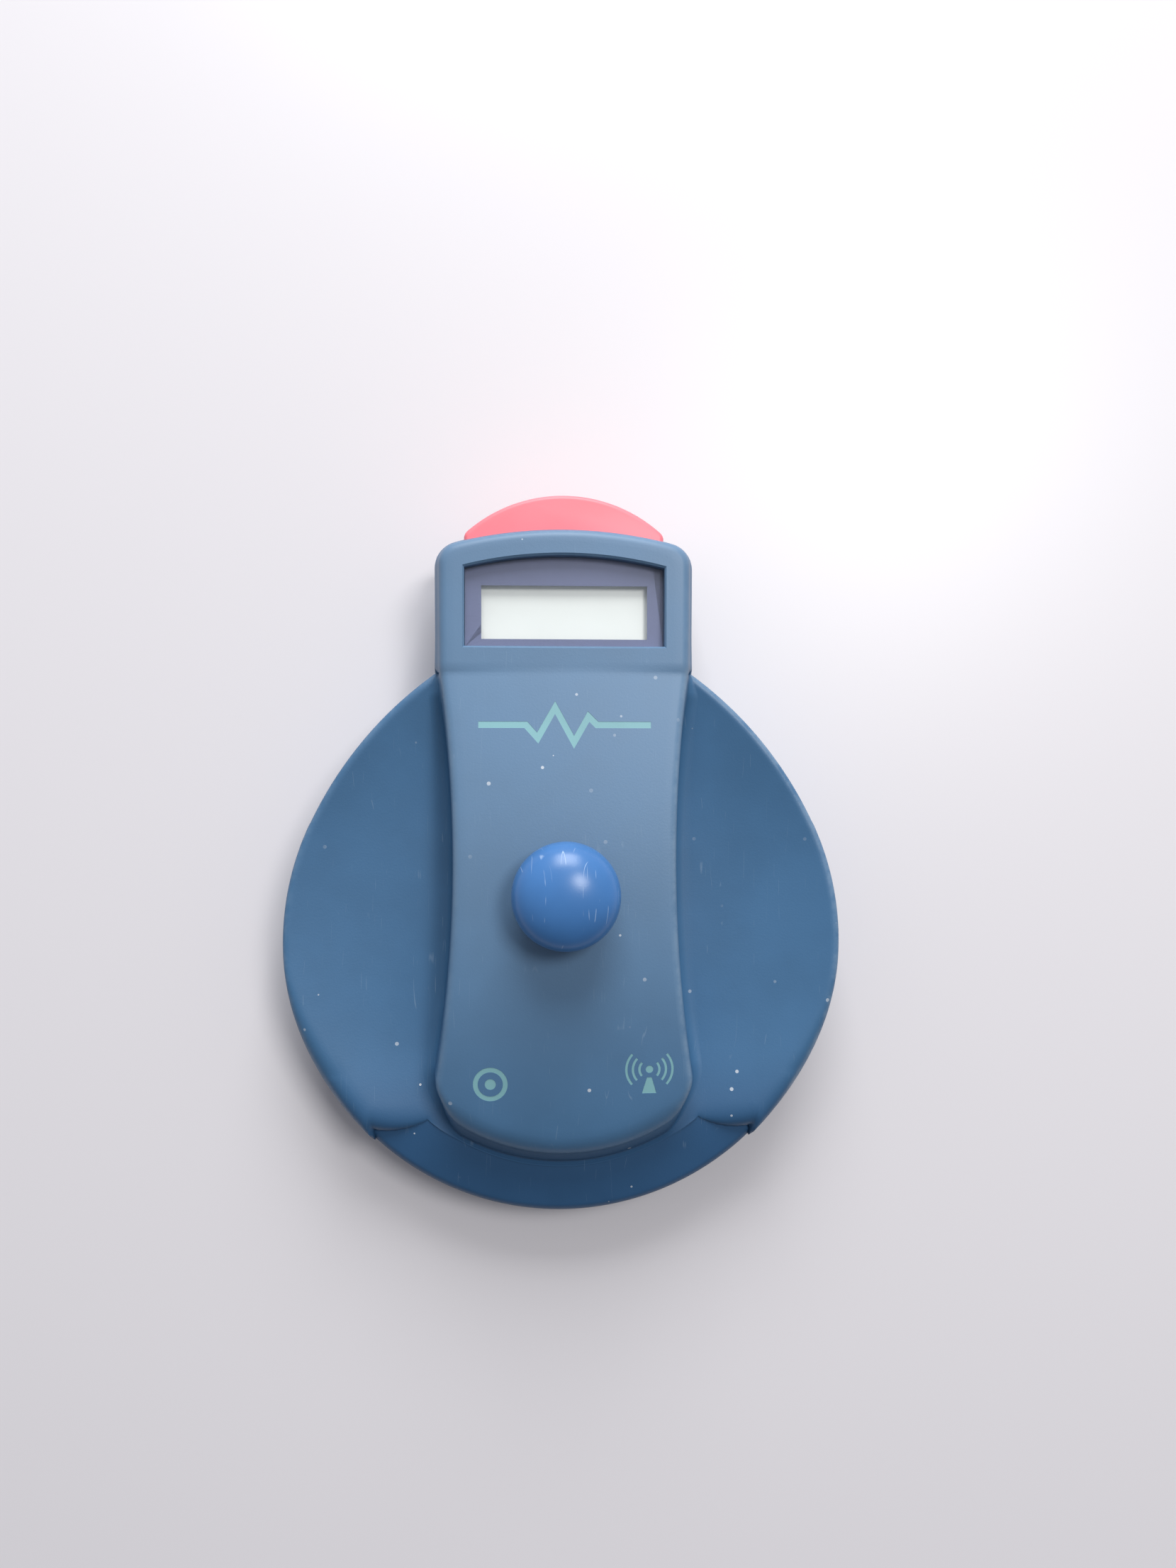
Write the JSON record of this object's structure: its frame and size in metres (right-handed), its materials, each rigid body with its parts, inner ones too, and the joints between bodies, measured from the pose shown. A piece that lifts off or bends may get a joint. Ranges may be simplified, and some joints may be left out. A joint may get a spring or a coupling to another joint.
{
  "type": "cordless clinical sensor pod",
  "caption": "Round blue hand-sized cordless sensor pod with a small display on its neck, scooped finger wings and a domed blue button.",
  "frame": {"origin": "centre of the flat contact face, on the axis of the round body", "axes": "+Y along the neck towards the coloured end cap, +Z out of the contact face's back, through the button; X across the width"},
  "size_m": [0.083, 0.1075, 0.032],
  "materials": {
    "shell_blue": "satin moulded teal blue",
    "cap_navy": "satin dark blue",
    "cap_coral": "soft pink red",
    "button_blue": "polished bright blue, lightly scratched",
    "plate_grey": "smooth pale grey",
    "mark_teal": "pale teal inlay",
    "window_clear": "clear moulded window",
    "border_grey": "printed grey violet",
    "display_grey": "pale green grey reflective display",
    "sleeve_grey": "dark bearing plastic",
    "grey_rubber": "matt",
    "steel": "plain",
    "tinned_steel": "tinned",
    "gold_plate": "gold plated",
    "circuit_green": "solder mask",
    "black_plastic": "moulded",
    "white_plastic": "moulded",
    "crystal_ceramic": "silvered ceramic",
    "cell_wrap": "shrink wrap",
    "wire_red": "wire insulation",
    "ribbon_amber": "flexible circuit"
  },
  "bodies": {
    "housing": {"top_cover": "shell_blue", "base_cover": "shell_blue", "case_seal": "grey_rubber", "case_screws": "steel", "rim_cap": "cap_navy", "charge_contacts": "gold_plate", "contact_board": "circuit_green", "end_cap": "cap_coral", "aerial": "circuit_green", "aerial_lead": "black_plastic", "sound_plate": "plate_grey", "plate_seal": "grey_rubber", "crystal_discs": "crystal_ceramic", "crystal_holder": "white_plastic", "crystal_leads": "wire_red", "main_board": "circuit_green", "board_screws": "steel", "chips": "black_plastic", "shield_can": "tinned_steel", "battery": "cell_wrap", "battery_tray": "white_plastic", "battery_pad": "grey_rubber", "battery_leads": "wire_red", "battery_plug": "white_plastic", "window": "window_clear", "window_border": "border_grey", "display_glass": "display_grey", "display_frame": "black_plastic", "contact_strips": "grey_rubber", "display_board": "circuit_green", "display_screws": "steel", "ribbon_cable": "ribbon_amber", "button_spring": "steel", "button_seal": "grey_rubber", "guide_sleeve": "sleeve_grey", "switch_body": "black_plastic", "pulse_mark": "mark_teal", "target_mark": "mark_teal", "signal_mark": "mark_teal"},
    "button": {"button_head": "button_blue", "button_stem": "steel", "button_clip": "steel", "switch_plunger": "white_plastic"}
  },
  "joints": [
    {"name": "button_press", "type": "slide", "parent": "housing", "child": "button", "axis": [0, 0, -1], "range_m": [0, 0.001], "stiffness_N_per_m": 400, "springref_m": -0.002, "deforming": ["button_spring"]}
  ]
}
